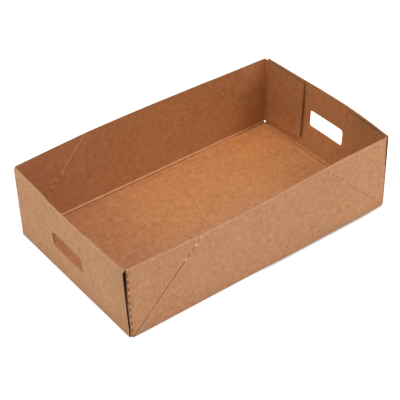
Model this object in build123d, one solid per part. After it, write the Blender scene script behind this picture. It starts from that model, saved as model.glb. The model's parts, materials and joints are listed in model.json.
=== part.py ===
from build123d import *
import os

# Open tray folded from one die-cut sheet of card, with a hand hole in each end wall.
# Millimetres. The origin is under the middle of the floor, +X runs along the tray, +Z is up.

# Outside sizes, taken at the bottom folds
tray_length = 400.0
tray_width = 242.0
tray_height = 106.0
card = 1.6

# Folds: outside radius, and the roll that the card raises inside each bottom fold
fold_radius = 2.3
roll_radius = 1.5
roll_lift = 1.3            # middle of the roll above the floor, along the long walls
end_roll_lift = 0.5        # the same along the end walls, where it has sunk into the floor

# How the walls stand, measured outward
end_lean = 5.5             # end walls, middle of the rim
end_lean_at_edge = 2.4     # the same at the upright edges
end_belly = 2.2            # swell of an end wall at half height, in the middle
end_belly_at_edge = 0.2    # the same at the upright edges
rim_swell = 3.6            # long walls, where the diagonal creases reach the rim

# End walls
end_side_gap = 2.3         # upright edge to the outside of the long wall
end_rim_drop = 0.8         # end rim below the long rims

# Hand holes, at half height
hole_length = 64.0
hole_height = 24.0
hole_corner = 4.5

# Corner flaps, inside the end walls
flap_hole_gap = 11.5       # free edge to the hand hole
flap_lift = 0.6            # lower end of the corner fold above the rolls
flap_low_taper = 12.0      # rise of the lower edge towards the free edge
flap_top_drop = 3.0        # top edge below the long rims, at the corner fold
flap_top_taper = 1.0       # fall of the top edge towards the free edge
flap_stand_off = 0.5       # free edge to end wall, at its foot and top
glue_gap = 0.15            # flap to end wall at the foot of the corner fold

# Diagonal creases of the long walls
crease_run_share = 0.985   # run along the wall, as a share of the rise
ridge_start = 6.0          # lower end of the ridge, along the crease from its foot
groove_width = 1.2         # pressed in outside
groove_depth = 0.35
ridge_width = 4.0          # raised inside, taken at half the card's depth
ridge_rise = 0.5

# Cuts in the outside, along the diagonal creases and the corner folds
cut_pitch = 10.5
cut_width = 0.5
cut_depth = 1.0
diagonal_cut = 5.0
corner_cut = 6.0
corner_cut_inset = 0.6     # middle of the cuts to the start of the corner fold

# Small round cut-out at each corner of the floor
relief_radius = 1.5

# How far cutters run past what they cut
overrun = 5.0

half_length = tray_length / 2
half_width = tray_width / 2
flap_plane = half_length - card - glue_gap
corner_x = flap_plane - fold_radius
corner_y = half_width - fold_radius
end_edge = half_width - end_side_gap
end_rim = tray_height - end_rim_drop
roll_top = card + roll_lift + roll_radius
flap_foot = roll_top + flap_lift
flap_top = tray_height - flap_top_drop
crease_rise = tray_height - fold_radius
crease_run = crease_rise * crease_run_share
crease_top_x = corner_x - crease_run
flap_edge = hole_length / 2 + flap_hole_gap


# Floor with a round fold and its roll at both sides, in section
def fold_section(half_span, lift):
    turn = half_span - fold_radius
    outline = Line((0, 0), (turn, 0))
    outline += CenterArc((turn, fold_radius), fold_radius, -90, 90)
    outline += Line((half_span, fold_radius), (half_span - card, fold_radius))
    outline += CenterArc((turn, fold_radius), fold_radius - card, 0, -90)
    outline += Polyline((turn, card), (0, card), (0, 0))
    kept = Rectangle(3 * roll_radius, 3 * roll_radius, align=(Align.MAX, Align.CENTER))
    roll = Pos(half_span - card, card + lift) * (Circle(roll_radius) & Pos(card / 2, 0) * kept)
    half = make_face(outline) + roll
    return half + mirror(half, Plane.YZ)


# Outer face of the -Y wall: feet of the corner folds, their rim ends, rim ends of the diagonal creases
feet = [Vector(x, -half_width, fold_radius) for x in (-corner_x, corner_x)]
corner_tops = [Vector(x, -half_width, tray_height) for x in (-corner_x, corner_x)]
crease_tops = [Vector(x, -half_width - rim_swell, tray_height) for x in (-crease_top_x, crease_top_x)]


# Flat panel of the -Y wall, one card deep from the corners of its outer face
def wall_panel(*corners):
    return extrude(make_face(Polyline(*corners, close=True)), amount=card, dir=(0, 1, 0))


# Long wall of the -Y side: a middle panel, and a corner panel beyond each diagonal crease
def long_wall():
    wall = wall_panel(feet[0], feet[1], crease_tops[1], crease_tops[0])
    return wall + [wall_panel(feet[side], crease_tops[side], corner_tops[side]) for side in (0, 1)]


# Plane at a point of the -Y wall's outer face, with Z along a line of the wall and Y inward
def plane_along(place, start, end):
    along = (end - start).normalized()
    return Plane(origin=place, x_dir=Vector(0, 1, 0).cross(along), z_dir=along)


# Bar along a crease of the -Y wall, with a section drawn across it
def crease_bar(start, end, section):
    return extrude(plane_along(start, start, end) * section, amount=(end - start).length)


# Row of cuts in the outside of the -Y wall, between two points of its outer face
def cut_row(start, end, cut_length):
    run = end - start
    count = int((run.length - cut_pitch) // cut_pitch) + 1
    cut = Box(cut_width, 2 * cut_depth, cut_length)
    first = (run.length - (count - 1) * cut_pitch) / 2
    places = [start + run.normalized() * (first + step * cut_pitch) for step in range(count)]
    return [plane_along(place, start, end) * cut for place in places]


# Rounded ridge inside the -Y wall along a diagonal crease
def crease_ridge(start, end):
    sides = ((-ridge_width / 2, card / 2), (ridge_width / 2, card / 2))
    section = make_face(ThreePointArc(sides[0], (0, card + ridge_rise), sides[1]) + Line(*sides))
    along = (end - start).normalized()
    below_rim = Box(tray_length, 2 * tray_width, tray_height, align=(Align.CENTER, Align.CENTER, Align.MIN))
    return crease_bar(start + along * ridge_start, end + along * overrun, section) & below_rim


# Groove outside the -Y wall along a diagonal crease
def crease_groove(start, end):
    half_mouth = groove_width / 2 * (1 + overrun / groove_depth)
    section = Polyline((0, groove_depth), (half_mouth, -overrun), (-half_mouth, -overrun), close=True)
    along = (end - start).normalized()
    return crease_bar(start + along * fold_radius, end + along * overrun, make_face(section))


# Outward set of an end wall at a share of its height
def end_set(rise_share, lean, belly):
    return lean * rise_share + 4 * belly * rise_share * (1 - rise_share)


# Upright section of the +X end wall
def end_section(y, lean, belly):
    heights = (fold_radius, (fold_radius + end_rim) / 2, end_rim)
    sets = [end_set(rise_share, lean, belly) for rise_share in (0, 1 / 2, 1)]
    outer = [Vector(half_length + out, y, height) for out, height in zip(sets, heights)]
    inner = [point - Vector(card, 0, 0) for point in outer]
    edges = ThreePointArc(*outer) + Line(outer[2], inner[2])
    edges += ThreePointArc(*reversed(inner)) + Line(inner[0], outer[0])
    return make_face(edges)


# End wall of the +X side, lofted through its two edges and its middle, with its hand hole
def end_wall():
    middle = end_section(0, end_lean, end_belly)
    edges = [end_section(y, end_lean_at_edge, end_belly_at_edge) for y in (-end_edge, end_edge)]
    hole = Pos(0, tray_height / 2) * RectangleRounded(hole_length, hole_height, hole_corner)
    reach = half_length + end_lean + end_belly + overrun
    return loft([edges[0], middle, edges[1]]) - extrude(Plane.YZ * hole, amount=reach)


# Upright strip, one card deep from two points of a flap's outer face
def flap_strip(low, high):
    inward = Vector(-card, 0, 0)
    return make_face(Polyline(low, high, high + inward, low + inward, close=True))


# Corner fold and glue flap at the +X +Y corner
def corner_flap():
    ring = CenterArc((corner_x, corner_y), fold_radius, 0, 90)
    ring += Line((corner_x, half_width), (corner_x, half_width - card))
    ring += CenterArc((corner_x, corner_y), fold_radius - card, 90, -90)
    ring += Line((flap_plane - card, corner_y), (flap_plane, corner_y))
    fold = Pos(0, 0, flap_foot) * extrude(make_face(ring), amount=tray_height - flap_foot)

    hinged = flap_strip(Vector(flap_plane, corner_y, flap_foot), Vector(flap_plane, corner_y, flap_top))
    middle_share = 1 - (flap_edge / end_edge) ** 2
    lean = end_lean_at_edge + (end_lean - end_lean_at_edge) * middle_share
    free_line = []
    for height in (flap_foot + flap_low_taper, flap_top - flap_top_taper):
        out = lean * (height - fold_radius) / (end_rim - fold_radius) - flap_stand_off
        free_line.append(Vector(half_length - card + out, flap_edge, height))
    return fold + loft([hinged, flap_strip(*free_line)], ruled=True)


tray = extrude(Plane.YZ * fold_section(half_width, roll_lift), amount=corner_x, both=True)
tray += extrude(Plane.XZ * fold_section(half_length, end_roll_lift), amount=end_edge, both=True)

wall = long_wall()
tray += [wall, mirror(wall, Plane.XZ)]
end = end_wall()
tray += [end, mirror(end, Plane.YZ)]
flap = corner_flap()
flap_pair = [flap, mirror(flap, Plane.XZ)]
tray += flap_pair + [mirror(each, Plane.YZ) for each in flap_pair]

ridges = []
grooves = []
cuts = []
for start, end in zip(feet, crease_tops):
    ridges.append(crease_ridge(start, end))
    grooves.append(crease_groove(start, end))
    cuts += cut_row(start, end, diagonal_cut)
for x in (corner_cut_inset - corner_x, corner_x - corner_cut_inset):
    cuts += cut_row(Vector(x, -half_width, flap_foot), Vector(x, -half_width, tray_height), corner_cut)
tray += ridges + [mirror(each, Plane.XZ) for each in ridges]
tray -= grooves + [mirror(each, Plane.XZ) for each in grooves]
tray -= cuts + [mirror(each, Plane.XZ) for each in cuts]

relief = Cylinder(relief_radius, roll_top + overrun, align=(Align.CENTER, Align.CENTER, Align.MIN))
relief_x = half_length - fold_radius
tray -= [Pos(x, y, -overrun) * relief for x in (-relief_x, relief_x) for y in (-corner_y, corner_y)]

print("solids", len(tray.solids()), "volume", round(tray.volume), "valid", tray.is_valid)
os.makedirs("parts", exist_ok=True)
export_step(tray, "parts/folded_tray.step")
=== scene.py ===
import json
import math
import random

import bpy
from mathutils import Matrix, Vector

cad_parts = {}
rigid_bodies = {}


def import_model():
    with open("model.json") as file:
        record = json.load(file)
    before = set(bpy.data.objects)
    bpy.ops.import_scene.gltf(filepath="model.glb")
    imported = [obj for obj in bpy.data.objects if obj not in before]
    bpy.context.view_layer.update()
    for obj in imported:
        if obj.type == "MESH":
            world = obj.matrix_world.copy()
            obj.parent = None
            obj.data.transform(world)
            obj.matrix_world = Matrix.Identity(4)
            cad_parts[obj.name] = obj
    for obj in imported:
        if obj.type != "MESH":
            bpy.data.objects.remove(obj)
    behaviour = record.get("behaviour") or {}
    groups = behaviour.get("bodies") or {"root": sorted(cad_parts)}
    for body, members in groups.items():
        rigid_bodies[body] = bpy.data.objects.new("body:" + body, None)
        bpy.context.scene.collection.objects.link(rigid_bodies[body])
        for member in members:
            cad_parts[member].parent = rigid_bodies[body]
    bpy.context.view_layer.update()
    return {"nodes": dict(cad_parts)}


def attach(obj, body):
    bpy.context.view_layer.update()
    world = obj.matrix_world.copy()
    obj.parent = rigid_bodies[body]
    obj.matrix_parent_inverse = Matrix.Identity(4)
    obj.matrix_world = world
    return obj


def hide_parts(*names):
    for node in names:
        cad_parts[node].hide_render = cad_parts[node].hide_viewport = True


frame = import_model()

mm = 0.001

# sheet sizes in metres, as the solids have them
sheet = {
    "halfLength": 200 * mm,
    "halfWidth": 121 * mm,
    "height": 106 * mm,
    "card": 1.6 * mm,
    "fold": 2.3 * mm,
    "rollTop": 4.6 * mm,          # just above the rolls
    "rollIn": 2.4 * mm,           # just inside the rolls, once they are fuller
    "cornerX": 195.95 * mm,       # where the corner folds start
    "endEdge": 118.7 * mm,        # upright edges of the end walls
    "endRim": 105.2 * mm,
    "creaseRise": 103.7 * mm,
    "creaseRun": 102.145 * mm,
    "rimSwell": 3.6 * mm,         # long walls, where the creases reach the rim
    "endLean": 2.4 * mm,          # end walls, at their upright edges
    "endLeanMiddle": 5.5 * mm,    # end walls, at the middle of their rims
    "flapFoot": 5.0 * mm,
    "cutPitch": 10.5 * mm,
}
creaseLength = math.hypot(sheet["creaseRise"], sheet["creaseRun"])


def only(obj):
    bpy.ops.object.select_all(action="DESELECT")
    obj.select_set(True)
    bpy.context.view_layer.objects.active = obj


def joined(pieces, name):
    only(pieces[0])
    for piece in pieces:
        piece.select_set(True)
    bpy.ops.object.join()
    whole = bpy.context.object
    whole.name = name
    return whole


# select faces in code and go to edit mode
def pickFaces(obj, test):
    only(obj)
    bpy.context.tool_settings.mesh_select_mode = (False, False, True)
    for part in (obj.data.vertices, obj.data.edges):
        part.foreach_set("select", [False] * len(part))
    for face in obj.data.polygons:
        face.select = test(face)
    bpy.ops.object.mode_set(mode="EDIT")


# how far a long wall stands out at a place of its outer face
def swellAt(x, z):
    across = (sheet["cornerX"] - abs(x)) / sheet["creaseRun"]
    up = (z - sheet["fold"]) / sheet["creaseRise"]
    return sheet["rimSwell"] * max(0, min(across, up))


# how far an end wall leans out at its rim
def leanAt(farY):
    middle = max(0, 1 - (farY / sheet["endEdge"]) ** 2)
    return sheet["endLean"] + (sheet["endLeanMiddle"] - sheet["endLean"]) * middle


# how deep a place of a rim lies behind the outer face
def rimDepth(spot):
    farX, farY = abs(spot.x), abs(spot.y)
    if farX < sheet["cornerX"]:
        return sheet["halfWidth"] + swellAt(spot.x, spot.z) - farY
    if farY > sheet["endEdge"]:
        cornerY = sheet["halfWidth"] - sheet["fold"]
        return sheet["fold"] - math.hypot(farX - sheet["cornerX"], farY - cornerY)
    return sheet["halfLength"] + leanAt(farY) - farX


# small helpers for node trees: a number or a socket goes into an input
def feed(tree, socket, value):
    if isinstance(value, bpy.types.NodeSocket):
        tree.links.new(value, socket)
    else:
        socket.default_value = value


def calc(tree, operation, *values, clamp=False):
    node = tree.nodes.new("ShaderNodeMath")
    node.operation = operation
    node.use_clamp = clamp
    for socket, value in zip(node.inputs, values):
        feed(tree, socket, value)
    return node.outputs[0]


# 0 at low and 1 at high, or the two values given, with a soft step between
def ramp(tree, value, low, high, first=0.0, last=1.0):
    node = tree.nodes.new("ShaderNodeMapRange")
    node.interpolation_type = "SMOOTHSTEP"
    feed(tree, node.inputs["Value"], value)
    feed(tree, node.inputs["From Min"], low)
    feed(tree, node.inputs["From Max"], high)
    node.inputs["To Min"].default_value = first
    node.inputs["To Max"].default_value = last
    return node.outputs["Result"]


def grain(tree, place, scale, detail, stretch=None, rough=0.6):
    if stretch:
        turn = tree.nodes.new("ShaderNodeMapping")
        turn.inputs["Scale"].default_value = stretch
        tree.links.new(place, turn.inputs["Vector"])
        place = turn.outputs["Vector"]
    node = tree.nodes.new("ShaderNodeTexNoise")
    node.inputs["Scale"].default_value = scale
    node.inputs["Detail"].default_value = detail
    node.inputs["Roughness"].default_value = rough
    tree.links.new(place, node.inputs["Vector"])
    return calc(tree, "SUBTRACT", node.outputs["Fac"], 0.5)


def split(tree, place):
    node = tree.nodes.new("ShaderNodeSeparateXYZ")
    tree.links.new(place, node.inputs[0])
    return node.outputs


# 1 inside a box given in millimetres: its low corner, its high corner and the width of its soft edges
def boxMask(tree, spots, low, high, soft):
    mask = 1.0
    for spot, start, end, edge in zip(spots, low, high, soft):
        mask = calc(tree, "MULTIPLY", mask, ramp(tree, spot, (start - edge) * mm, start * mm))
        mask = calc(tree, "MULTIPLY", mask, ramp(tree, spot, end * mm, (end + edge) * mm, 1.0, 0.0))
    return mask


# camera, as the photograph was taken
photoCamera = {
    "place": (-0.76271, -1.02230, 1.04040),
    "turn": (51.6564, 1.0114, -37.2600),
    "lens": 115.33,
    "sensor": 36.0,
    "clipEnd": 20.0,
}


def addCamera():
    bpy.ops.object.camera_add(
        location=photoCamera["place"],
        rotation=[math.radians(angle) for angle in photoCamera["turn"]],
    )
    camera = bpy.context.object
    camera.name = "photoCamera"
    camera.data.lens = photoCamera["lens"]
    camera.data.sensor_width = photoCamera["sensor"]
    camera.data.clip_end = photoCamera["clipEnd"]
    bpy.context.scene.camera = camera
    print("camera set")


# pale studio: a white floor, soft light all round, three broad lamps above,
# and a low strip facing each wall from outside
studio = {
    "floorSize": 8.0,
    "floorDrop": 0.3 * mm,
    "floorColour": (0.80, 0.80, 0.80, 1),
    "floorLift": 0.62,            # seen by the camera alone: a white floor that keeps its shadow
    "floorShade": 0.85,           # share of that lift taken away along the near edge: a painted contact shadow
    "shadeBox": ((35, -122.6, -1), (150, -118, 1), (70, 1.3, 1)),
    "skyStrength": 0.55,
    "lamps": (
        # name, place, size, watts, colour
        ("overhead", (0, 0, 2.0), (1.0, 1.0), 14.9, (1, 1, 0.99)),
        ("leftFill", (-1.7, 0.1, 1.2), (1.0, 1.0), 2.8, (0.74, 0.94, 1.0)),
        ("frontRight", (0.9, -1.3, 1.2), (1.0, 1.0), 3.2, (1, 0.94, 0.86)),
    ),
    "stripLength": 0.9,
    "stripHeight": 0.05,
    "stripOut": 0.45,             # strip to the wall it faces
    "strips": (
        # name, side, half the tray that way, watts, colour
        ("stripNear", (0, -1, 0), "halfWidth", 0.69, (1.0, 0.98, 0.95)),
        ("stripFar", (0, 1, 0), "halfWidth", 0.60, (1, 1, 1)),
        ("stripLeft", (-1, 0, 0), "halfLength", 0.76, (0.95, 1.0, 1.0)),
        ("stripRight", (1, 0, 0), "halfLength", 0.60, (1, 1, 1)),
    ),
}


def aimLamp(name, place, size, power, colour, target):
    bpy.ops.object.light_add(type="AREA", location=place)
    lamp = bpy.context.object
    lamp.name = name
    lamp.data.shape = "RECTANGLE"
    lamp.data.size, lamp.data.size_y = size
    lamp.data.energy = power
    lamp.data.color = colour
    lamp.rotation_euler = (Vector(target) - Vector(place)).to_track_quat("-Z", "Y").to_euler()
    lamp.visible_camera = False


def addStudio():
    bpy.ops.mesh.primitive_plane_add(size=studio["floorSize"], location=(0, 0, -studio["floorDrop"]))
    floor = bpy.context.object
    floor.name = "studioFloor"
    white = bpy.data.materials.new("studioWhite")
    white.use_nodes = True
    tree = white.node_tree
    tree.nodes.clear()
    out = tree.nodes.new("ShaderNodeOutputMaterial")
    add = tree.nodes.new("ShaderNodeAddShader")
    matt = tree.nodes.new("ShaderNodeBsdfDiffuse")
    matt.inputs["Color"].default_value = studio["floorColour"]
    glow = tree.nodes.new("ShaderNodeEmission")
    place = tree.nodes.new("ShaderNodeTexCoord").outputs["Object"]
    seen = tree.nodes.new("ShaderNodeLightPath").outputs["Is Camera Ray"]
    lift = calc(tree, "MULTIPLY", seen, studio["floorLift"])
    # painted contact shadow: a strip along the near edge with less of the lift
    shade = boxMask(tree, split(tree, place), *studio["shadeBox"])
    shade = calc(tree, "MULTIPLY_ADD", shade, -studio["floorShade"], 1.0)
    tree.links.new(calc(tree, "MULTIPLY", lift, shade), glow.inputs["Strength"])
    tree.links.new(matt.outputs[0], add.inputs[0])
    tree.links.new(glow.outputs[0], add.inputs[1])
    tree.links.new(add.outputs[0], out.inputs["Surface"])
    floor.data.materials.append(white)

    sky = bpy.data.worlds.new("softSky")
    sky.use_nodes = True
    sky.node_tree.nodes["Background"].inputs["Color"].default_value = (1, 1, 1, 1)
    sky.node_tree.nodes["Background"].inputs["Strength"].default_value = studio["skyStrength"]
    bpy.context.scene.world = sky

    for name, place, size, power, colour in studio["lamps"]:
        aimLamp(name, place, size, power, colour, (0, 0, 0))
    height = studio["stripHeight"]
    for name, way, half, power, colour in studio["strips"]:
        wall = Vector(way) * sheet[half] + Vector((0, 0, height))
        place = wall + Vector(way) * studio["stripOut"]
        aimLamp(name, place, (studio["stripLength"], height), power, colour, wall)
    bpy.context.scene.view_settings.view_transform = "Standard"
    print("studio lit")


def newGroup(name, inputs, outputs):
    tree = bpy.data.node_groups.new(name, "ShaderNodeTree")
    for label, kind in inputs:
        tree.interface.new_socket(label, in_out="INPUT", socket_type=kind)
    for label, kind in outputs:
        tree.interface.new_socket(label, in_out="OUTPUT", socket_type=kind)
    return tree, tree.nodes.new("NodeGroupInput").outputs, tree.nodes.new("NodeGroupOutput").inputs


number, vector = "NodeSocketFloat", "NodeSocketVector"

# paper of the liners: pulp clouds, fibre mottle, upright streaks and sparse flecks
fibre = {
    # scale and detail of each noise
    "cloud": (38.0, 3.0),
    "patch": (130.0, 1.0),
    "mottle": (300.0, 2.0),
    "streak": (420.0, 1.0),
    "fleck": (330.0, 0.0),
    "patchShare": 0.6,
    "streakStretch": (1.0, 1.0, 0.12),
    "fleckStep": (0.20, 0.30),
    "tint": (0.75, 1.10, 1.45),   # a light fibre is paler as well: red, green, blue
}


def fibreGroup():
    tree, given, put = newGroup(
        "kraftFibre",
        (("Place", vector), ("Cloud", number), ("Mottle", number), ("Streak", number), ("Fleck", number)),
        (("Tone", number), ("Fibre", number), ("Cloud", number), ("Height", number)),
    )
    place = given["Place"]
    cloud = grain(tree, place, *fibre["cloud"])
    patch = grain(tree, place, *fibre["patch"])
    mottle = grain(tree, place, *fibre["mottle"])
    mottle = calc(tree, "MULTIPLY_ADD", patch, fibre["patchShare"], mottle)
    streak = grain(tree, place, *fibre["streak"], fibre["streakStretch"])
    fleck = ramp(tree, grain(tree, place, *fibre["fleck"]), *fibre["fleckStep"])
    tone = calc(tree, "MULTIPLY_ADD", cloud, given["Cloud"], 1.0)
    tone = calc(tree, "MULTIPLY_ADD", streak, given["Streak"], tone)
    tone = calc(tree, "SUBTRACT", tone, calc(tree, "MULTIPLY", fleck, given["Fleck"]))
    tree.links.new(tone, put["Tone"])
    tree.links.new(calc(tree, "MULTIPLY", mottle, given["Mottle"]), put["Fibre"])
    tree.links.new(calc(tree, "ADD", cloud, 0.5), put["Cloud"])
    tree.links.new(calc(tree, "ADD", mottle, streak), put["Height"])
    return tree


# faint washboard of the fluted core under both liners: lines across the long walls and the floor,
# level lines on the end walls
flute = {
    "pitch": 3.3 * mm,
    "height": 0.8 * mm,
    "wall": 0.18 * mm,
    "perPitch": 8,
    "drop": 0.04 * mm,            # core below the cut edge
    "rimStrip": 0.23 * mm,        # depth of the core that is made, in the rims and in the upright edges
    "endStrip": 1.0 * mm,
    "rimClear": 2 * mm,           # what the core stops short, in all
    "endClear": 4 * mm,
    "fade": (60.0, 1.0),          # scale and detail of the patches where the lines show
    "fadeStep": (-0.15, 0.2),
}


def washboardGroup():
    tree, given, put = newGroup("washboard", (("Place", vector),), (("Wave", number),))
    x, y, z = split(tree, given["Place"])
    onEnd = calc(tree, "GREATER_THAN", calc(tree, "ABSOLUTE", x), sheet["cornerX"] + sheet["fold"] / 2)
    along = calc(tree, "ADD", calc(tree, "MULTIPLY", onEnd, z),
                 calc(tree, "MULTIPLY", calc(tree, "SUBTRACT", 1.0, onEnd), x))
    wave = calc(tree, "SINE", calc(tree, "MULTIPLY", along, 2 * math.pi / flute["pitch"]))
    fade = ramp(tree, grain(tree, given["Place"], *flute["fade"]), *flute["fadeStep"])
    tree.links.new(calc(tree, "MULTIPLY", wave, fade), put["Wave"])
    return tree


# diagonal creases and corner folds of the long walls, and where painted shade and highlights go along them
crease = {
    "cuts": 13,
    "cut": 5.0 * mm,
    "cornerCuts": 9,
    "cornerCut": 6.0 * mm,
    "cornerOut": 1.25 * mm,       # corner row to the start of the fold
    "line": 1.15 * mm,            # half width of the dark line, a painted shade
    "lip": 2.7 * mm,              # how far below the crease its light lip, a painted highlight, ends
    "ridge": (0.9 * mm, 2.1 * mm),            # half width of the ridge: whole, and faded out
    "cornerLine": (0.35 * mm, 0.75 * mm),     # the same for the corner row
    "cornerStrip": (-2.1 * mm, -1.7 * mm),    # outer part of the fold that is painted pale, a painted highlight: whole, and faded out
    "middle": (-20 * mm, 20 * mm),            # where the look of the -X end gives way
}
crease["firstCut"] = (creaseLength - (crease["cuts"] - 1) * sheet["cutPitch"]) / 2
cornerRun = sheet["height"] - sheet["flapFoot"]
crease["cornerFirst"] = (cornerRun - (crease["cornerCuts"] - 1) * sheet["cutPitch"]) / 2


def creaseGroup():
    tree, given, put = newGroup(
        "creaseShadeAndHighlight",
        (("Place", vector),),
        (("Line", number), ("Lip", number), ("Ridge", number), ("Cut", number), ("Rise", number),
         ("CornerCut", number), ("CornerStrip", number), ("Left", number)),
    )
    x, y, z = split(tree, given["Place"])
    farX = calc(tree, "ABSOLUTE", x)
    across = calc(tree, "SUBTRACT", sheet["cornerX"], farX)
    up = calc(tree, "SUBTRACT", z, sheet["fold"])
    slope = sheet["creaseRun"] / creaseLength
    climb = sheet["creaseRise"] / creaseLength
    # away from the crease, towards the corner where positive; and up along it
    off = calc(tree, "SUBTRACT", calc(tree, "MULTIPLY", up, slope), calc(tree, "MULTIPLY", across, climb))
    along = calc(tree, "ADD", calc(tree, "MULTIPLY", across, slope), calc(tree, "MULTIPLY", up, climb))
    onWall = calc(tree, "GREATER_THAN", calc(tree, "ABSOLUTE", y), sheet["halfWidth"] - 2.5 * sheet["card"])
    onWall = calc(tree, "MULTIPLY", onWall, calc(tree, "GREATER_THAN", z, sheet["fold"]))
    near = calc(tree, "ABSOLUTE", off)
    line = calc(tree, "MULTIPLY", onWall, ramp(tree, near, crease["line"] * 0.4, crease["line"], 1.0, 0.0))
    below = calc(tree, "MULTIPLY", off, -1.0)
    lip = calc(tree, "MULTIPLY", ramp(tree, below, crease["line"] * 0.5, crease["line"] * 1.3),
               ramp(tree, below, crease["line"] * 1.4, crease["lip"], 1.0, 0.0))
    ridge = calc(tree, "MULTIPLY", onWall, ramp(tree, near, *crease["ridge"], 1.0, 0.0))
    tree.links.new(line, put["Line"])
    tree.links.new(calc(tree, "MULTIPLY", lip, onWall), put["Lip"])
    tree.links.new(ridge, put["Ridge"])

    # distance from the middle of the nearest cut, along its row
    def fromCut(distance, first):
        turn = calc(tree, "WRAP", calc(tree, "SUBTRACT", distance, first), sheet["cutPitch"] / 2,
                    -sheet["cutPitch"] / 2)
        return calc(tree, "ABSOLUTE", turn)

    cut = ramp(tree, fromCut(along, crease["firstCut"]), crease["cut"] * 0.42, crease["cut"] * 0.6, 1.0, 0.0)
    tree.links.new(cut, put["Cut"])
    tree.links.new(calc(tree, "DIVIDE", along, creaseLength), put["Rise"])
    foot = calc(tree, "SUBTRACT", z, sheet["flapFoot"])
    cornerCut = ramp(tree, fromCut(foot, crease["cornerFirst"]), crease["cornerCut"] * 0.42,
                     crease["cornerCut"] * 0.56, 1.0, 0.0)
    aside = calc(tree, "ADD", across, crease["cornerOut"])
    cornerLine = ramp(tree, calc(tree, "ABSOLUTE", aside), *crease["cornerLine"], 1.0, 0.0)
    inRow = calc(tree, "MULTIPLY", onWall, calc(tree, "GREATER_THAN", z, sheet["flapFoot"]))
    cornerCut = calc(tree, "MULTIPLY", cornerCut, cornerLine)
    tree.links.new(calc(tree, "MULTIPLY", cornerCut, inRow), put["CornerCut"])
    strip = ramp(tree, across, *crease["cornerStrip"], 1.0, 0.0)
    tree.links.new(calc(tree, "MULTIPLY", strip, inRow), put["CornerStrip"])
    tree.links.new(ramp(tree, x, *crease["middle"], 1.0, 0.0), put["Left"])
    return tree


# where the sheet is rubbed and where light and shade are painted: rims and rolls inside the bottom folds
# (rubbed, with painted highlight or shade), and the foot of the walls (painted shade)
wearAndLight = {
    "rim": (3.5 * mm, 0.5 * mm),  # below the rims: where it starts, and is whole
    "foot": (0.5 * mm, 14 * mm),  # height at which it is whole, and ends
    "rollClear": 0.1 * mm,        # rolls start this much above the floor
}


def wearAndLightGroup():
    tree, given, put = newGroup(
        "rubbedAndLitEdges",
        (("Place", vector),),
        (("Rim", number), ("LongRoll", number), ("EndRoll", number), ("Foot", number)),
    )
    x, y, z = split(tree, given["Place"])
    farX = calc(tree, "ABSOLUTE", x)
    farY = calc(tree, "ABSOLUTE", y)
    rim = ramp(tree, z, *[sheet["height"] - down for down in wearAndLight["rim"]])
    low = calc(tree, "MULTIPLY", calc(tree, "LESS_THAN", z, sheet["rollTop"]),
               calc(tree, "GREATER_THAN", z, sheet["card"] + wearAndLight["rollClear"]))
    longRoll = calc(tree, "GREATER_THAN", farY, sheet["halfWidth"] - sheet["card"] - sheet["rollIn"])
    endRoll = calc(tree, "GREATER_THAN", farX, sheet["halfLength"] - sheet["card"] - sheet["rollIn"])
    foot = ramp(tree, z, *wearAndLight["foot"], 1.0, 0.0)
    tree.links.new(rim, put["Rim"])
    tree.links.new(calc(tree, "MULTIPLY", low, longRoll), put["LongRoll"])
    tree.links.new(calc(tree, "MULTIPLY", low, endRoll), put["EndRoll"])
    tree.links.new(foot, put["Foot"])
    return tree


def placeGroup(tree, group, **values):
    node = tree.nodes.new("ShaderNodeGroup")
    node.node_tree = group
    for label, value in values.items():
        feed(tree, node.inputs[label], value)
    return node.outputs


def newMaterial(name):
    card = bpy.data.materials.new(name)
    card.use_nodes = True
    tree = card.node_tree
    skin = tree.nodes["Principled BSDF"]
    skin.inputs["Roughness"].default_value = liners["rough"]
    skin.inputs["Specular IOR Level"].default_value = liners["sheen"]
    spot = tree.nodes.new("ShaderNodeAttribute")
    spot.attribute_name = "sheetPlace"
    return card, tree, skin, spot.outputs["Vector"]


def blend(tree, share, first, second):
    mix = tree.nodes.new("ShaderNodeMix")
    mix.data_type = "RGBA"
    feed(tree, mix.inputs["Factor"], share)
    feed(tree, mix.inputs[6], first)
    feed(tree, mix.inputs[7], second)
    return mix.outputs[2]


def vectorCalc(tree, operation, *values):
    node = tree.nodes.new("ShaderNodeVectorMath")
    node.operation = operation
    for socket, value in zip(node.inputs, values):
        feed(tree, socket, value)
    return node.outputs["Vector"]


# a tone of paper, tinted by its fibre and scaled by a factor
def paint(tree, skin, tone, fibreMask, factor):
    tint = vectorCalc(tree, "MULTIPLY_ADD", fibreMask, fibre["tint"], (1, 1, 1))
    tone = vectorCalc(tree, "MULTIPLY", tone, tint)
    scale = tree.nodes.new("ShaderNodeVectorMath")
    scale.operation = "SCALE"
    tree.links.new(tone, scale.inputs[0])
    feed(tree, scale.inputs["Scale"], factor)
    tree.links.new(scale.outputs["Vector"], skin.inputs["Base Color"])


def bump(tree, skin, height, distance, strength):
    node = tree.nodes.new("ShaderNodeBump")
    node.inputs["Distance"].default_value = distance
    node.inputs["Strength"].default_value = strength
    tree.links.new(height, node.inputs["Height"])
    tree.links.new(node.outputs["Normal"], skin.inputs["Normal"])
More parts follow.
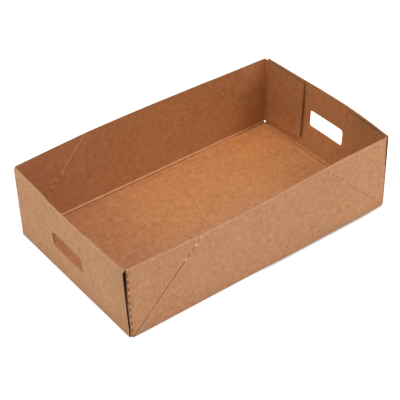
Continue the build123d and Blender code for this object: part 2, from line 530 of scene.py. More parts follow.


# painted light and shade: soft lighter and darker patches over the paper where the tray is lit or shaded; a
# box, as boxMask takes it, and what it does to red, green and blue
innerLightAndShade = (
    # painted light at the foot of the far roll, towards the +X corner
    ((120, 116.6, -1), (205, 119.6, 2.5), (60, 1.2, 0.6), (1.20, 1.22, 1.26)),
    # painted light and shade on the floor: -X end, middle, +X end, front, the near and far corners of the +X
    # end
    ((-260, -130, -1), (-140, 130, 3), (110, 1, 0.5), (0.87, 0.84, 0.88)),
    ((0, 10, -1), (90, 90, 3), (110, 70, 0.5), (1.08, 1.06, 0.96)),
    ((150, -130, -1), (230, 130, 3), (60, 1, 0.5), (0.99, 0.955, 0.885)),
    ((-220, -130, -1), (70, -35, 3), (80, 60, 0.5), (0.955, 1.0, 1.27)),
    ((150, -130, -1), (230, -10, 3), (40, 40, 0.5), (0.90, 0.89, 0.93)),
    ((140, 75, -1), (230, 130, 3), (40, 30, 0.5), (1.12, 1.06, 1.0)),
    # painted light and shade on the far long wall: low, -X end, top, +X corner (painted shade in the corner)
    # and the top of that corner
    ((-150, 115, 3), (130, 125, 15), (30, 1, 35), (1.06, 1.10, 1.13)),
    ((-210, 115, 5), (-110, 125, 110), (70, 1, 4), (1.0, 1.03, 1.18)),
    ((-80, 115, 70), (120, 125, 110), (60, 1, 30), (0.97, 0.94, 0.90)),
    ((172, 115, 3), (200, 125, 55), (33, 1, 30), (0.77, 0.79, 0.76)),
    ((165, 115, 95), (200, 125, 110), (25, 1, 12), (1.08, 1.09, 1.22)),
    # flaps of the +X end: painted shade on their upper parts and painted light on the lower part, and
    # painted light on the wall below its hand hole
    ((195, 43, 40), (215, 121, 110), (1, 1, 35), (0.88, 0.87, 0.79)),
    ((195, -95, 40), (215, -65, 110), (1, 30, 35), (0.83, 0.85, 0.78)),
    ((195, 43, -1), (215, 121, 15), (1, 1, 25), (1.08, 1.11, 1.09)),
    ((190, -10, 3), (215, 43, 35), (1, 15, 15), (1.07, 1.14, 1.15)),
    # painted light on the near part of that end, and painted shade on the floor at its foot
    ((195, -121, 3), (215, -50, 60), (1, 20, 30), (1.07, 1.07, 1.05)),
    ((195.4, -115, -1), (197, 115, 1.7), (1.2, 5, 0.1), (0.86, 0.85, 0.84)),
    # painted light on the floor along the far wall, and by the near corner of the -X end
    ((70, 112, -1), (185, 125, 1.7), (30, 6, 0.1), (1.14, 1.12, 1.10)),
    ((-170, -125, -1), (-60, -80, 1.7), (40, 30, 0.1), (1.08, 1.07, 1.05)),
)
outerLightAndShade = (
    # painted shade and light on the near long wall: -X part darker, +X part lighter
    ((-210, -130, -1), (-150, -115, 110), (60, 1, 1), (0.97, 0.955, 0.94)),
    ((170, -130, -1), (210, -115, 110), (70, 1, 1), (1.06, 1.06, 1.06)),
    # near bottom fold, a little greyer: painted shade
    ((-205, -125, -1), (205, -117, 1.2), (1, 1, 1.5), (0.93, 0.98, 1.12)),
    # painted shade on the -X end wall: by the near corner, and low down
    ((-215, -121, -1), (-195, -108, 110), (1, 30, 1), (0.92, 0.93, 0.92)),
    ((-215, -121, -1), (-195, 121, 10), (1, 1, 25), (0.96, 0.96, 0.97)),
    # painted shade on the far corner fold of the -X end, and on the near one, where the end wall shades it
    ((-215, 118.5, -1), (-190, 130, 110), (10, 1, 1), (0.78, 0.84, 0.96)),
    ((-198.6, -123, 92), (-198.2, -112, 100.5), (0.25, 3, 45), (0.16, 0.13, 0.12)),
)


# paints the patches of light and shade into a colour: each box scales red, green and blue inside it
def withPaintedLight(tree, colour, place, paintedPatches):
    spots = split(tree, place)
    for low, high, soft, tint in paintedPatches:
        mask = boxMask(tree, spots, low, high, soft)
        change = vectorCalc(tree, "MULTIPLY_ADD", mask, [part - 1 for part in tint], (1, 1, 1))
        colour = vectorCalc(tree, "MULTIPLY", colour, change)
    return colour


liners = {
    "outerA": (0.490, 0.250, 0.130, 1),
    "outerB": (0.525, 0.261, 0.127, 1),
    "innerA": (0.555, 0.239, 0.092, 1),
    "innerB": (0.560, 0.255, 0.107, 1),
    # paler paper for rubbed places and for painted highlights
    "pale": (0.68, 0.37, 0.20, 1),
    # dark floors of the cuts: painted shade inside the cuts, darker still at the -X end
    "score": (0.42, 0.21, 0.105, 1),
    "scoreLeft": (0.17, 0.076, 0.038, 1),
    # lips are pale paper, paler still as a painted highlight along the rims
    "lip": (0.66, 0.39, 0.23, 1),
    # cores of the cut edges: partly their own brown and partly painted shade between the liners; the near
    # copy is a lit copy (painted light), the dark copies are painted shade in the gaps, hand holes and flap
    # tops
    "rimCore": (0.30, 0.16, 0.08, 1),
    "rimCoreNear": (0.52, 0.30, 0.17, 1),
    "endCore": (0.50, 0.265, 0.14, 1),
    "endCoreDark": (0.038, 0.015, 0.009, 1),
    "endCoreRight": (0.11, 0.055, 0.038, 1),
    "holeCore": (0.34, 0.185, 0.105, 1),
    "flapCore": (0.16, 0.08, 0.048, 1),
    "flapCoreFar": (0.22, 0.115, 0.063, 1),
    "torn": (0.66, 0.40, 0.235, 1),
    "rough": 0.86,
    "sheen": 0.25,
    "relief": (0.15 * mm, 0.35),  # distance and strength of the bump
    "waveRelief": 0.25,           # share of the washboard in it
}


# what both liners share: pulp, washboard (with a faint painted shade of its ripples), crease marks, rubbed
# places with painted light and shade, and the bump
def startLiner(groups, name, look):
    card, tree, skin, place = newMaterial(name)
    pulp = placeGroup(tree, groups["fibre"], Place=place, **look["pulp"])
    board, marks, wornAndLit = [
        placeGroup(tree, groups[each], Place=place) for each in ("washboard", "crease", "wearAndLight")
    ]
    # the washboard lines are a faint painted shade of the ripples, as well as a bump
    tone = calc(tree, "MULTIPLY_ADD", board["Wave"], look["wave"], pulp["Tone"])
    height = calc(tree, "MULTIPLY_ADD", board["Wave"], liners["waveRelief"], pulp["Height"])
    bump(tree, skin, height, *liners["relief"])
    return card, tree, skin, place, pulp, marks, wornAndLit, tone


outerLook = {
    "pulp": {"Cloud": 0.10, "Mottle": 0.58, "Streak": 0.12, "Fleck": 0.05},
    "wave": 0.010,
    "score": (0.52, 0.70),        # darkness of the -X score, a painted shade in the crease, low down and high up
    "scoreRise": (0.40, 0.70),    # and where that changes, as a share of the crease
    "dots": 0.28,                 # darkness of the +X row, painted shade of its cuts
    "lip": (0.03, 0.17),          # lightness of the lip, a painted highlight, and what is added towards -X
    "strip": 0.10,                # lightness of the corner folds, a painted highlight
    # darkness of the corner rows: painted shade where their cuts are pressed shut
    "cornerCut": 0.72,
    # darkness at the foot of the walls: painted shade
    "foot": 0.05,
    "shade": (-0.72, -0.96, -1.04),           # what the marks take from red, green and blue
    "rim": (0.2, 0.35),           # paleness of the rims, rubbed and partly a painted highlight: -X end, and elsewhere
    "rimStep": 2 * mm,
}


def outerLiner(groups):
    card, tree, skin, place, pulp, marks, wornAndLit, tone = startLiner(groups, "outerLiner", outerLook)
    # painted shade and highlights: a whole dark score with a light lip towards -X, a row of faint dots
    # towards +X, dark corner rows, a darker foot and pale corner folds
    dots = calc(tree, "MULTIPLY", calc(tree, "SUBTRACT", 1.0, marks["Left"]), marks["Cut"])
    whole = ramp(tree, marks["Rise"], *outerLook["scoreRise"], *outerLook["score"])
    dark = calc(tree, "MULTIPLY_ADD", dots, outerLook["dots"], calc(tree, "MULTIPLY", marks["Left"], whole))
    dark = calc(tree, "MULTIPLY", marks["Line"], dark)
    dark = calc(tree, "MULTIPLY_ADD", marks["CornerCut"], outerLook["cornerCut"], dark)
    dark = calc(tree, "MULTIPLY_ADD", wornAndLit["Foot"], outerLook["foot"], dark)
    plain, added = outerLook["lip"]
    light = calc(tree, "MULTIPLY", marks["Lip"], calc(tree, "MULTIPLY_ADD", marks["Left"], added, plain))
    light = calc(tree, "MULTIPLY_ADD", marks["CornerStrip"], outerLook["strip"], light)
    tone = calc(tree, "ADD", tone, light)
    colour = blend(tree, pulp["Cloud"], liners["outerA"], liners["outerB"])
    shade = vectorCalc(tree, "MULTIPLY_ADD", dark, outerLook["shade"], (1, 1, 1))
    colour = vectorCalc(tree, "MULTIPLY", colour, shade)
    # rims rubbed pale, partly a painted highlight
    x = split(tree, place)["X"]
    rubbedAndLit = ramp(tree, x, -sheet["cornerX"], -sheet["cornerX"] + outerLook["rimStep"], *outerLook["rim"])
    colour = blend(tree, calc(tree, "MULTIPLY", wornAndLit["Rim"], rubbedAndLit), colour, liners["pale"])
    paint(tree, skin, withPaintedLight(tree, colour, place, outerLightAndShade), pulp["Fibre"], tone)
    return card


innerLook = {
    "pulp": {"Cloud": 0.14, "Mottle": 0.58, "Streak": 0.08, "Fleck": 0.05},
    "wave": 0.008,
    "whole": (0.58, 0.64),        # share of the crease past which its ridge is whole
    "ridge": (0.12, 0.38),        # paleness of the ridge, a painted highlight, and what is added towards -X
    "gap": (0.10, 0.32),          # darkness of its gaps, painted shade, the same way
    "away": (0.5, 0.8),           # far and +X rims: how much x and y count, and where they start
    "awayStep": (-5 * mm, 15 * mm),
    "rimShade": 0.07,                 # darkness of those rims: painted shade
    "rim": 0.15,                  # paleness of the other rims: rubbed, with a painted highlight
    "longRoll": 0.58,             # paleness of the rolls: rubbed, with a painted highlight
    "longRollEnd": (140 * mm, 185 * mm),      # where the long ones lose it
    "longRollLeft": 0.1,          # and the share that stays
    # paleness of the end rolls, the same way
    "endRoll": 0.12,
    "lift": 0.12,                 # how much lighter a pale place is
    "aboveFlapLight": 0.28,                 # the same for the +X end wall above its flaps: painted light
    "aboveFlapDepth": (1.75 * mm, 1.95 * mm),
    "aboveFlapSide": (44 * mm, 47 * mm),
    "aboveFlapRise": (97 * mm, 100 * mm),
}


def innerLiner(groups):
    card, tree, skin, place, pulp, marks, wornAndLit, tone = startLiner(groups, "innerLiner", innerLook)
    # ridge of the diagonal crease, a painted highlight with painted shade in its gaps: pale and whole near
    # the rim, broken by the cuts lower down
    broken = calc(tree, "MULTIPLY", ramp(tree, marks["Rise"], *innerLook["whole"], 1.0, 0.0), marks["Cut"])
    plain, added = innerLook["ridge"]
    ridge = calc(tree, "MULTIPLY", marks["Ridge"], calc(tree, "SUBTRACT", 1.0, broken))
    ridge = calc(tree, "MULTIPLY", ridge, calc(tree, "MULTIPLY_ADD", marks["Left"], added, plain))
    plain, added = innerLook["gap"]
    dark = calc(tree, "MULTIPLY_ADD", marks["Left"], added, plain)
    dark = calc(tree, "MULTIPLY", calc(tree, "MULTIPLY", marks["Line"], broken), dark)
    # far and +X rims get painted shade, near and -X rims are rubbed pale with a painted highlight
    x, y, z = split(tree, place)
    alongX, alongY = innerLook["away"]
    away = calc(tree, "MULTIPLY_ADD", x, alongX, calc(tree, "MULTIPLY", y, alongY))
    away = ramp(tree, away, *innerLook["awayStep"])
    dark = calc(tree, "MULTIPLY_ADD", calc(tree, "MULTIPLY", wornAndLit["Rim"], away), innerLook["rimShade"], dark)
    tone = calc(tree, "MULTIPLY", tone, calc(tree, "SUBTRACT", 1.0, dark))
    rubbedAndLit = calc(tree, "MULTIPLY", wornAndLit["Rim"], calc(tree, "SUBTRACT", 1.0, away))
    pale = calc(tree, "MULTIPLY_ADD", rubbedAndLit, innerLook["rim"], ridge)
    # rolls rubbed pale, with a painted highlight, fading out towards +X
    fade = ramp(tree, x, *innerLook["longRollEnd"], 1.0, innerLook["longRollLeft"])
    roll = calc(tree, "MULTIPLY", wornAndLit["LongRoll"], fade)
    pale = calc(tree, "MULTIPLY_ADD", roll, innerLook["longRoll"], pale)
    pale = calc(tree, "MULTIPLY_ADD", wornAndLit["EndRoll"], innerLook["endRoll"], pale, clamp=True)
    tone = calc(tree, "MULTIPLY", tone, calc(tree, "MULTIPLY_ADD", pale, innerLook["lift"], 1.0))
    colour = blend(tree, pulp["Cloud"], liners["innerA"], liners["innerB"])
    colour = blend(tree, pale, colour, liners["pale"])
    # painted light on the +X end wall above its flaps
    side = calc(tree, "DIVIDE", y, sheet["endEdge"])
    lean = calc(tree, "MULTIPLY_ADD", calc(tree, "MULTIPLY", side, side),
                sheet["endLean"] - sheet["endLeanMiddle"], sheet["halfLength"] + sheet["endLeanMiddle"])
    aboveFlapLight = ramp(tree, calc(tree, "SUBTRACT", lean, x), *innerLook["aboveFlapDepth"], 1.0, 0.0)
    aboveFlapLight = calc(tree, "MULTIPLY", aboveFlapLight, ramp(tree, calc(tree, "ABSOLUTE", y), *innerLook["aboveFlapSide"]))
    aboveFlapLight = calc(tree, "MULTIPLY", aboveFlapLight, ramp(tree, z, *innerLook["aboveFlapRise"]))
    tone = calc(tree, "MULTIPLY", tone, calc(tree, "MULTIPLY_ADD", aboveFlapLight, innerLook["aboveFlapLight"], 1.0))
    paint(tree, skin, withPaintedLight(tree, colour, place, innerLightAndShade), pulp["Fibre"], tone)
    return card


# cut edges: pale paper lips, brown core between them, torn fibre at the ties; a patch is a box, as above,
# where an edge takes a lighter or darker colour: painted light and shade
edgeLook = {
    "pulp": {"Cloud": 0.2, "Mottle": 0.3, "Streak": 0.2, "Fleck": 0.1},
    "lift": 1.1,                  # how much lighter the pulp clouds are
    "relief": (0.2 * mm, 0.5),
}
edgePatches = {
    "score": (((-230, -130, -1), (-190, 130, 110), (130, 1, 1), "scoreLeft"),),
    "rimCore": (
        ((-230, -130, -1), (188, -110, 110), (5, 20, 1), "rimCoreNear"),
        ((-230, -130, -1), (-196, 130, 110), (30, 1, 1), "rimCoreNear"),
    ),
    "endCore": (
        ((-230, -130, -1), (-190, -100, 101.5), (10, 10, 2), "endCoreDark"),
        ((-230, 100, -1), (-190, 130, 110), (10, 10, 1), "endCoreDark"),
        ((190, -130, 66), (230, -100, 110), (10, 10, 14), "endCoreRight"),
        ((-230, -45, 30), (-190, 45, 80), (10, 5, 5), "holeCore"),
    ),
    "flapCore": (((190, 40, 90), (230, 130, 110), (1, 1, 1), "flapCoreFar"),),
}


def edgePaper(groups, name):
    card, tree, skin, place = newMaterial(name)
    pulp = placeGroup(tree, groups["fibre"], Place=place, **edgeLook["pulp"])
    spots = split(tree, place)
    colour = blend(tree, pulp["Cloud"], liners[name], [edgeLook["lift"] * part for part in liners[name]])
    for low, high, soft, other in edgePatches.get(name, ()):
        colour = blend(tree, boxMask(tree, spots, low, high, soft), colour, liners[other])
    paint(tree, skin, colour, pulp["Fibre"], pulp["Tone"])
    bump(tree, skin, pulp["Height"], *edgeLook["relief"])
    return card


# tray of folded card: a merged copy of the solid, cut into a grid so that it can bow
gridStep = {"x": 12.5 * mm, "y": 12.1 * mm, "z": 10 * mm}
gridSpan = {
    "x": (-sheet["halfLength"], sheet["halfLength"]),
    "y": (-sheet["halfWidth"], sheet["halfWidth"]),
    "z": (0, sheet["height"]),
}
weld = {"solid": 0.002 * mm, "grid": 0.03 * mm}
sides = {"outer": 0, "inner": 1, "lip": 2, "score": 3, "rimCore": 4, "endCore": 5, "flapCore": 6}
channel = {
    "lip": 0.3 * mm,
    "flat": 2,                    # degrees within which faces are joined first
    "runs": (
        # way the edge looks, depth, side that it becomes, rings of faces that go with it
        ((0, 0, 1), 0.25 * mm, "rimCore", 1),
        ((0, 1, 0), 1.3 * mm, "endCore", 2),
        ((0, -1, 0), 1.3 * mm, "endCore", 2),
    ),
}
# floors of the cuts, pressed towards the outer face; the groove of the +X diagonals is pressed out as well
press = {
    "depth": 1.0 * mm,            # as the solid has it
    "slack": 0.1 * mm,
    "floor": (0.4 * mm, 1.3 * mm),            # depths that count as inside a cut
    "left": 0.52 * mm,            # lift in the -X diagonals, the +X diagonals and the corner rows
    "right": 0.6 * mm,
    "corner": 0.85 * mm,
    "cornerRow": (3 * mm, 0.2 * mm),          # where a corner row starts and ends, before its fold
    "groove": 0.35 * mm,
    "grooveLift": 0.2 * mm,
}

# top edges of the corner flaps in the solid, and where they stand in the photographed tray:
# height at the corner fold and at the free edge
flapTop = {
    "fold": 118.7 * mm,
    "free": 43.5 * mm,
    "solid": (103.0 * mm, 102.0 * mm),
    "band": (101.5 * mm, 103.2 * mm),         # heights that take in that edge
    "left": (105.0 * mm, 104.9 * mm),
    "right": (105.0 * mm, 101.9 * mm),
    "bend": 5 * mm,               # run from the fold in which the near -X flap comes up to its end wall
    "pull": 45 * mm,              # run of the far long wall that follows its -X corner
    "reach": 4.55 * mm,           # how much farther out the free edge stands, at the top
    "slack": 0.06 * mm,
    "behind": 0.25 * mm,          # past the end wall's inner face by this much is a flap
}
# near top corner of the -X end wall, bent in over the gap beside it
cornerBend = {"low": 102.2 * mm, "start": 110 * mm, "run": 8 * mm, "in": 2.3 * mm, "around": 30 * mm}
# rolls inside the long bottom folds: radius and height in the solid, and how much fuller they get
rollPress = {"radius": 1.5 * mm, "middle": 2.9 * mm, "swell": 1.45}

# how far each rim of the photographed tray stands outside the solid, in millimetres at five even
# places: from -X to +X for the long rims, from -Y to +Y for the end rims
rimBow = {
    "far": (1.1, 2.8, 2.7, 0.1, 0.2),
    "near": (0.1, -0.4, -1.9, -6.0, -3.3),
    "right": (0.2, 2.6, 2.1, 0.4, 0.2),
    "left": (1.7, -0.2, -1.3, -2.2, -2.2),
}


# cut the whole of a mesh, or the faces that pass a test, along one way of the grid
def bisectGrid(obj, way, test=None):
    normal = Vector([float(way == other) for other in "xyz"])
    low, high = gridSpan[way]
    count = int((high - low) / gridStep[way])
    for i in range(1, count):
        pickFaces(obj, test or (lambda face: True))
        bpy.ops.mesh.bisect(plane_co=normal * (low + i * (high - low) / count), plane_no=normal)
        bpy.ops.object.mode_set(mode="OBJECT")


def sideOf(face):
    c, n = face.center, face.normal
    outX = n.x * math.copysign(1, c.x)
    outY = n.y * math.copysign(1, c.y)
    farX, farY = abs(c.x), abs(c.y)
    if c.z < sheet["rollTop"]:
        if n.z < -0.2:
            return sides["outer"]
        if farY > sheet["halfWidth"] - 0.8 * sheet["card"] and outY > 0.3:
            return sides["outer"]
        if farX > sheet["halfLength"] - 0.8 * sheet["card"] and outX > 0.3:
            return sides["outer"]
        return sides["inner"]
    if farX < sheet["cornerX"]:
        depth = sheet["halfWidth"] + swellAt(c.x, c.z) - farY
        # floors of the cuts take the dark score paper, a painted shade
        if press["floor"][0] < depth < press["floor"][1] and n.z < 0.9:
            return sides["score" if farX < sheet["cornerX"] - press["cornerRow"][0] else "outer"]
        lean = outY
    elif farY > sheet["halfWidth"] - sheet["fold"] + 0.05 * mm:
        lean = outX + outY if n.z < 0.7 else 0
    else:
        lean = outX
    if lean > 0.5:
        return sides["outer"]
    if lean < -0.5:
        return sides["inner"]
    return sides["lip"]


# an applied lattice that leaves the floor alone and moves the rims
def bowRims(pieces):
    bpy.ops.object.add(type="LATTICE", location=(0, 0, sheet["height"] / 2))
    cage = bpy.context.object
    cage.scale = (2 * sheet["halfLength"], 2 * sheet["halfWidth"], sheet["height"])
    grid = cage.data
    grid.points_u, grid.points_v, grid.points_w = 5, 5, 2
    grid.interpolation_type_u = grid.interpolation_type_v = "KEY_CARDINAL"
    grid.interpolation_type_w = "KEY_LINEAR"
    for v in range(5):
        for u in range(5):
            across = v / 4
            along = u / 4
            dy = across * rimBow["far"][u] - (1 - across) * rimBow["near"][u]
            dx = along * rimBow["right"][v] - (1 - along) * rimBow["left"][v]
            point = grid.points[25 + 5 * v + u]
            point.co_deform = point.co_deform + Vector((dx * mm / cage.scale.x, dy * mm / cage.scale.y, 0))
    for piece in pieces:
        bend = piece.modifiers.new("rimBow", "LATTICE")
        bend.object = cage
        only(piece)
        bpy.ops.object.modifier_apply(modifier=bend.name)
    bpy.data.objects.remove(cage)


# the place each point had before the rims were bowed, for the materials
def keepPlace(piece):
    kept = piece.data.attributes.new("sheetPlace", "FLOAT_VECTOR", "POINT")
    kept.data.foreach_set("vector", [part for point in piece.data.vertices for part in point.co])


def smooth(piece, angle):
    only(piece)
    bpy.ops.object.shade_smooth_by_angle(angle=math.radians(angle))
    even = piece.modifiers.new("evenNormals", "WEIGHTED_NORMAL")
    even.keep_sharp = True
    bpy.ops.object.modifier_apply(modifier=even.name)


def pressCuts(spot):
    farX = abs(spot.x)
    depth = sheet["halfWidth"] + swellAt(spot.x, spot.z) - abs(spot.y)
    lift = 0
    if farX < sheet["cornerX"] - press["cornerRow"][0]:
        if abs(depth - press["depth"]) < press["slack"]:
            lift = press["left" if spot.x < 0 else "right"]
        elif spot.x > 0 and abs(depth - press["groove"]) < press["slack"]:
            lift = press["grooveLift"]
    elif farX < sheet["cornerX"] - press["cornerRow"][1] and spot.z > sheet["flapFoot"]:
        if abs(depth - press["depth"]) < press["slack"]:
            lift = press["corner"]
    spot.y += math.copysign(lift, spot.y)


def easy(share):
    share = max(0, min(1, share))
    return share * share * (3 - 2 * share)


# gap between a flap's outer face and its end wall, at the rim
def flapGap(farY, run):
    face = sheet["cornerX"] + sheet["fold"] + run * flapTop["reach"]
    return sheet["halfLength"] + leanAt(farY) - sheet["card"] - face - flapTop["slack"]


# flaps: the top edges are raised; at the -X end the near one has its top laid against the end wall,
# and the far one lies against it all the way up and takes the corner with it
def setFlap(spot):
    farX, farY = abs(spot.x), abs(spot.y)
    run = max(0, (flapTop["fold"] - farY) / (flapTop["fold"] - flapTop["free"]))
    up = max(0, spot.z - sheet["fold"]) / (sheet["endRim"] - sheet["fold"])
    if farX < sheet["cornerX"]:
        if spot.x < 0 < spot.y and farY > flapTop["fold"] - sheet["fold"] and spot.z > sheet["flapFoot"]:
            share = easy((farX - sheet["cornerX"] + flapTop["pull"]) / flapTop["pull"])
            spot.x -= flapGap(flapTop["fold"], 0) * up * share
        return
    lean = rimDepth(Vector((spot.x, min(farY, sheet["endEdge"]), spot.z)))
    onFlap = run < 1.01 and lean - sheet["endLean"] * (1 - up) > sheet["card"] + flapTop["behind"]
    if not onFlap or spot.z < sheet["flapFoot"] - 0.1 * mm:
        return
    gap = flapGap(min(farY, flapTop["fold"]), run)
    low, high = flapTop["band"]
    top = low < spot.z < high and farY < flapTop["fold"] + 0.01 * mm
    if spot.x < 0 < spot.y:
        spot.x -= gap * up
    elif spot.x < 0 and top:
        spot.x -= gap * easy((flapTop["fold"] - farY) / flapTop["bend"])
    if top:
        lines = (flapTop["solid"], flapTop["left" if spot.x < 0 else "right"])
        old, new = [atFold + (atFree - atFold) * run for atFold, atFree in lines]
        spot.z += new - old


def bendCorner(spot):
    onWall = spot.x < -sheet["halfLength"] and spot.y < 0 and rimDepth(spot) < 1.1 * sheet["card"]
    if onWall and spot.z > cornerBend["low"] + 0.1 * mm:
        spot.x += cornerBend["in"] * easy((-spot.y - cornerBend["start"]) / cornerBend["run"])


def swellRoll(spot):
    out = sheet["halfWidth"] - sheet["card"] - abs(spot.y)
    up = spot.z - rollPress["middle"]
    if abs(spot.x) > sheet["cornerX"] or not 0.05 * mm < out < 1.02 * rollPress["radius"]:
        return
    if math.hypot(out, up) > 1.05 * rollPress["radius"]:
        return
    spot.y -= math.copysign(out * (rollPress["swell"] - 1), spot.y)


# rims look up; upright edges of end walls, flaps and hand holes look along the ends
def isEdge(face, look):
    if face.material_index != sides["lip"] or face.normal.dot(look) < 0.9:
        return False
    if look.z > 0:
        onFold = abs(face.center.x) > sheet["cornerX"] and abs(face.center.y) > sheet["endEdge"]
        return face.center.z > sheet["endRim"] - 5 * mm and not onFold
    return abs(face.center.x) > sheet["cornerX"]


def makeTray(papers):
    node = frame["nodes"]["folded_tray"]
    tray = node.copy()
    tray.data = node.data.copy()
    tray.name = "cardTray"
    for key in list(tray.keys()):
        del tray[key]
    tray.parent = None
    bpy.context.scene.collection.objects.link(tray)
    only(tray)
    bpy.ops.object.mode_set(mode="EDIT")
    bpy.ops.mesh.select_all(action="SELECT")
    bpy.ops.mesh.remove_doubles(threshold=weld["solid"])
    bpy.ops.object.mode_set(mode="OBJECT")
    for way in "xyz":
        bisectGrid(tray, way)
    bpy.ops.object.mode_set(mode="EDIT")
    bpy.ops.mesh.select_all(action="SELECT")
    bpy.ops.mesh.remove_doubles(threshold=weld["grid"])
    bpy.ops.mesh.dissolve_degenerate(threshold=weld["grid"])
    bpy.ops.object.mode_set(mode="OBJECT")
    tray.data.materials.clear()
    for name in sides:
        tray.data.materials.append(papers[name])
    for face in tray.data.polygons:
        face.material_index = sideOf(face)

    corner = Vector((-sheet["halfLength"], -sheet["endEdge"], sheet["endRim"]))
    pickFaces(tray, lambda face: (face.center - corner).length < cornerBend["around"])
    bpy.ops.mesh.bisect(plane_co=(0, 0, cornerBend["low"]), plane_no=(0, 0, 1))
    bpy.ops.object.mode_set(mode="OBJECT")
    for point in tray.data.vertices:
        pressCuts(point.co)
        bendCorner(point.co)
        setFlap(point.co)
        swellRoll(point.co)

    # cut edges: two paper lips with the core sunk between them
    for look, depth, side, rings in channel["runs"]:
        look = Vector(look)
        tray.active_material_index = sides[side]
        pickFaces(tray, lambda face: isEdge(face, look))
        bpy.ops.mesh.dissolve_limited(angle_limit=math.radians(channel["flat"]))
        bpy.ops.mesh.inset(thickness=channel["lip"], depth=0, use_boundary=True, use_even_offset=False)
        bpy.ops.mesh.extrude_region_move(TRANSFORM_OT_translate={"value": look * -depth})
        for ring in range(rings):
            bpy.ops.mesh.select_more()
        bpy.ops.object.material_slot_assign()
        bpy.ops.object.mode_set(mode="OBJECT")
    # floors of those edges are cut across like the rest, so that they can bow
    for way in "xyz":
        bisectGrid(tray, way, lambda face: len(face.vertices) > 8)
    # the lips towards the inside are the inside paper, and so are the sills of the hand holes; tops of the
    # +X flaps take the dark flap core, a painted shade
    for face in tray.data.polygons:
        depth = rimDepth(face.center)
        onRim = isEdge(face, Vector((0, 0, 1)))
        core = face.material_index == sides["rimCore"]
        sill = face.normal.z > 0.5 and face.center.z < sheet["height"] / 2
        if (onRim or core) and depth > 1.2 * sheet["card"] and face.center.x > sheet["cornerX"]:
            face.material_index = sides["flapCore"]
        elif onRim and depth > sheet["card"] / 2 or face.material_index == sides["lip"] and sill:
            face.material_index = sides["inner"]
    # long faces are cut into triangles while they are still straight
    pickFaces(tray, lambda face: len(face.vertices) > 4 or face.material_index == sides["score"])
    bpy.ops.mesh.quads_convert_to_tris(quad_method="BEAUTY", ngon_method="BEAUTY")
    bpy.ops.object.mode_set(mode="OBJECT")
    print("tray cut and folded,", len(tray.data.polygons), "faces")
    return tray


# fluted core that shows in the cut edges: one ribbon for each long rim and each upright end edge
def fluteRibbon(name, length, strip, paper, spot):
    count = int(length / flute["pitch"]) * flute["perPitch"]
    bpy.ops.mesh.primitive_grid_add(x_subdivisions=count, y_subdivisions=1, size=1)
    ribbon = bpy.context.object
    ribbon.name = name
    for point in ribbon.data.vertices:
        run = point.co.x * length
        wave = flute["height"] / 2 * math.sin(2 * math.pi * run / flute["pitch"])
        point.co = spot(run, wave, flute["drop"] + (0 if point.co.y > 0 else strip))
    thick = ribbon.modifiers.new("paper", "SOLIDIFY")
    thick.thickness = flute["wall"]
    thick.offset = 0
    only(ribbon)
    bpy.ops.object.modifier_apply(modifier=thick.name)
    ribbon.data.materials.append(paper)
    return ribbon


def makeFlutes(rimPaper, endPaper):
    ribbons = []
    for way in (-1, 1):
        def onRim(run, wave, sink, way=way):
            out = sheet["halfWidth"] + swellAt(run, sheet["height"]) - sheet["card"] / 2
            return Vector((run, way * (out + wave), sheet["height"] - sink))
        length = 2 * sheet["cornerX"] - flute["rimClear"]
        ribbons.append(fluteRibbon("rimFlute", length, flute["rimStrip"], rimPaper, onRim))
        for end in (-1, 1):
            def onEdge(run, wave, sink, way=way, end=end):
                z = (sheet["fold"] + sheet["endRim"]) / 2 + run
                out = sheet["halfLength"] - sheet["card"] / 2
                out += sheet["endLean"] * (z - sheet["fold"]) / (sheet["endRim"] - sheet["fold"])
                return Vector((end * (out + wave), way * (sheet["endEdge"] - sink), z))
            length = sheet["endRim"] - sheet["fold"] - flute["endClear"]
            ribbons.append(fluteRibbon("edgeFlute", length, flute["endStrip"], endPaper, onEdge))
    core = joined(ribbons, "flutedCore")
    bpy.ops.object.mode_set(mode="EDIT")
    bpy.ops.mesh.select_all(action="SELECT")
    bpy.ops.mesh.normals_make_consistent(inside=False)
    bpy.ops.object.mode_set(mode="OBJECT")
    print("fluted core made,", len(core.data.polygons), "faces")
    return core


# torn fibre at the ties between the cuts: one small ragged nub, copied along each row
nub = {
    "long": 1.5 * mm,
    "wide": 0.85 * mm,
    "high": 0.38 * mm,
    "sink": 0.1 * mm,
    "ragged": 0.22,
    "vary": (0.75, 1.2),
    "seed": 7,
    # -X and +X diagonals: share of the crease where the nubs start, and their size
    "from": {-1: 0.7, 1: 0.55},
    "size": {-1: 1.55, 1: 0.6},
    "grow": (0.55, 0.55),         # size at the foot of a crease, and what is added up to its rim end
    "rimClear": 1 * mm,
    "cornerClear": 4 * mm,        # the same below the rim in the corner rows
}


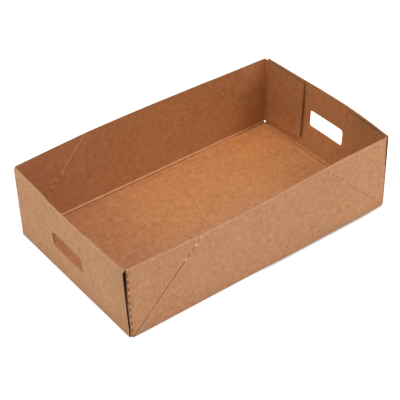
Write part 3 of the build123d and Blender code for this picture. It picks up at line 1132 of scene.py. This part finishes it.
def makeNubs(paper):
    rng = random.Random(nub["seed"])
    bpy.ops.mesh.primitive_ico_sphere_add(subdivisions=2, radius=1)
    first = bpy.context.object
    for point in first.data.vertices:
        point.co *= 1 + rng.uniform(-nub["ragged"], nub["ragged"])
    places = []
    for way in (-1, 1):
        for end in (-1, 1):
            climb = Vector((-end * sheet["creaseRun"], 0, sheet["creaseRise"])) / creaseLength
            for step in range(crease["cuts"]):
                run = crease["firstCut"] + (step + 0.5) * sheet["cutPitch"]
                if not nub["from"][end] * creaseLength <= run <= creaseLength - nub["rimClear"]:
                    continue
                spot = Vector((end * sheet["cornerX"], 0, sheet["fold"])) + climb * run
                spot.y = way * (sheet["halfWidth"] + swellAt(spot.x, spot.z) - nub["sink"])
                size = (nub["grow"][0] + nub["grow"][1] * run / creaseLength) * nub["size"][end]
                places.append((spot, climb, Vector((0, way, 0)), size))
            for step in range(crease["cornerCuts"]):
                z = sheet["flapFoot"] + crease["cornerFirst"] + (step + 0.5) * sheet["cutPitch"]
                if z > sheet["height"] - nub["cornerClear"]:
                    continue
                turn = math.asin(crease["cornerOut"] / sheet["fold"])
                out = Vector((end * math.sin(turn), way * math.cos(turn), 0))
                middle = Vector((end * sheet["cornerX"], way * (sheet["halfWidth"] - sheet["fold"]), z))
                places.append((middle + out * (sheet["fold"] - nub["sink"]), Vector((0, 0, 1)), out, 1.0))
    copies = []
    for spot, along, out, size in places:
        piece = first.copy()
        piece.data = first.data.copy()
        bpy.context.scene.collection.objects.link(piece)
        turn = Matrix((along, out.cross(along), out)).transposed()
        size *= rng.uniform(*nub["vary"])
        spread = Matrix.Diagonal((nub["long"] * size, nub["wide"] * size, nub["high"] * size))
        flip = Matrix.Rotation(rng.choice((0, math.pi)), 3, "Z")
        piece.data.transform((turn @ spread @ flip).to_4x4())
        piece.data.transform(Matrix.Translation(spot))
        copies.append(piece)
    bpy.data.objects.remove(first)
    nubs = joined(copies, "tornTies")
    nubs.data.materials.append(paper)
    print("torn ties made,", len(copies))
    return nubs


addCamera()
addStudio()
groups = {
    "fibre": fibreGroup(),
    "washboard": washboardGroup(),
    "crease": creaseGroup(),
    "wearAndLight": wearAndLightGroup(),
}
papers = {"outer": outerLiner(groups), "inner": innerLiner(groups)}
for name in ("lip", "score", "rimCore", "endCore", "flapCore", "torn"):
    papers[name] = edgePaper(groups, name)
smoothAngle = {"cardTray": 25, "flutedCore": 40, "tornTies": 40}
tray = makeTray(papers)
core = makeFlutes(papers["rimCore"], papers["endCore"])
nubs = makeNubs(papers["torn"])
for piece in (tray, core, nubs):
    keepPlace(piece)
bowRims((tray, core, nubs))
for piece in (tray, core, nubs):
    smooth(piece, smoothAngle[piece.name])
    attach(piece, "root")
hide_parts("folded_tray")
